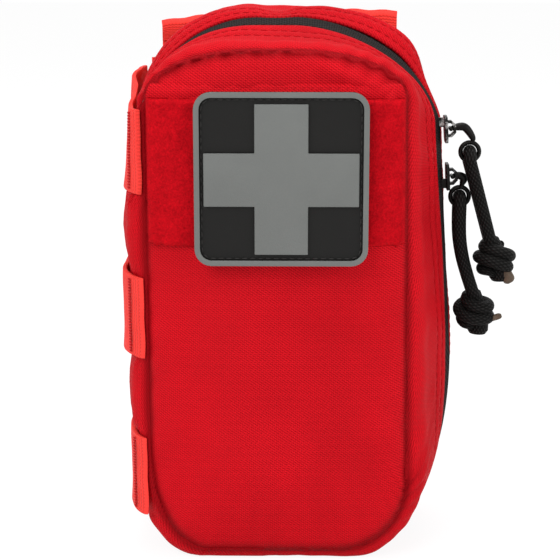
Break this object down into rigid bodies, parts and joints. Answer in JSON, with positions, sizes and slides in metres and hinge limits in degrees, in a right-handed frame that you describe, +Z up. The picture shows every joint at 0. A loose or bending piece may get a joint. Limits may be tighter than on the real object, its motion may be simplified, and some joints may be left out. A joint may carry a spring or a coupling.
{
  "type": "first aid pouch",
  "caption": "Book-type zipped soft pouch for first aid supplies, with side webbing rows, back straps, two corded zip sliders and a lift-off cross patch.",
  "frame": {"origin": "middle of the base of the whole object's box, at the height of the base", "axes": "+Z up, -Y out of the front panel, +X towards the zip sliders"},
  "size_m": [0.1245, 0.0708, 0.1697],
  "materials": {
    "binding": "woven",
    "cord_black": "braided",
    "gauze_white": "soft",
    "paper_white": "matt",
    "patch_black": "fine matt",
    "patch_grey": "fine matt",
    "patch_hook": "matt",
    "pull_metal": "satin",
    "red_cloth": "woven, matt",
    "red_loop": "brushed pile",
    "red_webbing": "ribbed weave",
    "slider_metal": "satin",
    "snap_metal": "satin",
    "zip_coil": "satin",
    "zip_tape": "woven"
  },
  "bodies": {
    "case": {"back_gusset": "red_cloth", "back_panel": "red_cloth", "back_binding": "binding", "zip_tape_back": "zip_tape", "zip_coil_back": "zip_coil", "back_row_1": "red_webbing", "back_row_2": "red_webbing", "back_row_3": "red_webbing", "strap_left": "red_webbing", "strap_right": "red_webbing", "snap_stud_left": "snap_metal", "snap_stud_right": "snap_metal", "side_row_rear_1": "red_webbing", "side_row_rear_2": "red_webbing", "side_row_rear_3": "red_webbing", "elastic_band": "binding", "slip_pocket": "binding", "bandage_roll_left": "gauze_white", "bandage_roll_right": "gauze_white", "gauze_pack": "gauze_white"},
    "lid": {"front_gusset": "red_cloth", "front_panel": "red_cloth", "front_binding": "binding", "loop_field": "red_loop", "zip_tape_front": "zip_tape", "zip_coil_front": "zip_coil", "side_row_front_1": "red_webbing", "side_row_front_2": "red_webbing", "side_row_front_3": "red_webbing", "lid_pocket": "zip_tape", "plaster_pack": "paper_white"},
    "patch": {"patch_hook": "patch_hook", "patch_base": "patch_black", "patch_border": "patch_grey", "patch_cross": "patch_grey"},
    "upper_slider": {"slider_upper": "slider_metal"},
    "upper_pull": {"pull_upper": "pull_metal"},
    "upper_cord": {"cord_upper": "cord_black", "knot_upper": "cord_black"},
    "lower_slider": {"slider_lower": "slider_metal"},
    "lower_pull": {"pull_lower": "pull_metal"},
    "lower_cord": {"cord_lower": "cord_black", "knot_lower": "cord_black"},
    "left_strap_tail": {"strap_tail_left": "red_webbing", "snap_cap_left": "snap_metal"},
    "right_strap_tail": {"strap_tail_right": "red_webbing", "snap_cap_right": "snap_metal"}
  },
  "joints": [
    {"name": "lid_hinge", "type": "hinge", "parent": "case", "child": "lid", "pos_m": [-0.0497, 0, 0.08], "axis": [0, 0, -1], "range_deg": [0, 120]},
    {"name": "upper_slider_travel", "type": "slide", "parent": "case", "child": "upper_slider", "axis": [-0.0599, 0, 0.9982], "range_m": [0, 0.002]},
    {"name": "lower_slider_travel", "type": "slide", "parent": "case", "child": "lower_slider", "axis": [0.0599, 0, -0.9982], "range_m": [0, 0.05]},
    {"name": "upper_pull_swing", "type": "hinge", "parent": "upper_slider", "child": "upper_pull", "pos_m": [0.05362, 0, 0.13313], "axis": [0, -1, 0], "range_deg": [0, 75]},
    {"name": "lower_pull_swing", "type": "hinge", "parent": "lower_slider", "child": "lower_pull", "pos_m": [0.05452, 0, 0.11813], "axis": [0, -1, 0], "range_deg": [0, 75]},
    {"name": "upper_cord_swing", "type": "hinge", "parent": "upper_pull", "child": "upper_cord", "pos_m": [0.05982, 0, 0.12303], "axis": [1, 0, 0], "range_deg": [-35, 35]},
    {"name": "lower_cord_swing", "type": "hinge", "parent": "lower_pull", "child": "lower_cord", "pos_m": [0.05702, 0, 0.10893], "axis": [1, 0, 0], "range_deg": [-35, 35]},
    {"name": "patch_lift", "type": "slide", "parent": "lid", "child": "patch", "axis": [0, -0.9998, 0.0209], "range_m": [0, 0.05]},
    {"name": "left_tail_swing", "type": "hinge", "parent": "case", "child": "left_strap_tail", "pos_m": [-0.0254, 0.0298, 0.024], "axis": [1, 0, 0], "range_deg": [0, 90]},
    {"name": "right_tail_swing", "type": "hinge", "parent": "case", "child": "right_strap_tail", "pos_m": [0.0254, 0.0298, 0.024], "axis": [1, 0, 0], "range_deg": [0, 90]}
  ],
  "couplings": [
    {"joint": "upper_pull_swing", "follows": "lower_pull_swing", "ratio": 1}
  ]
}
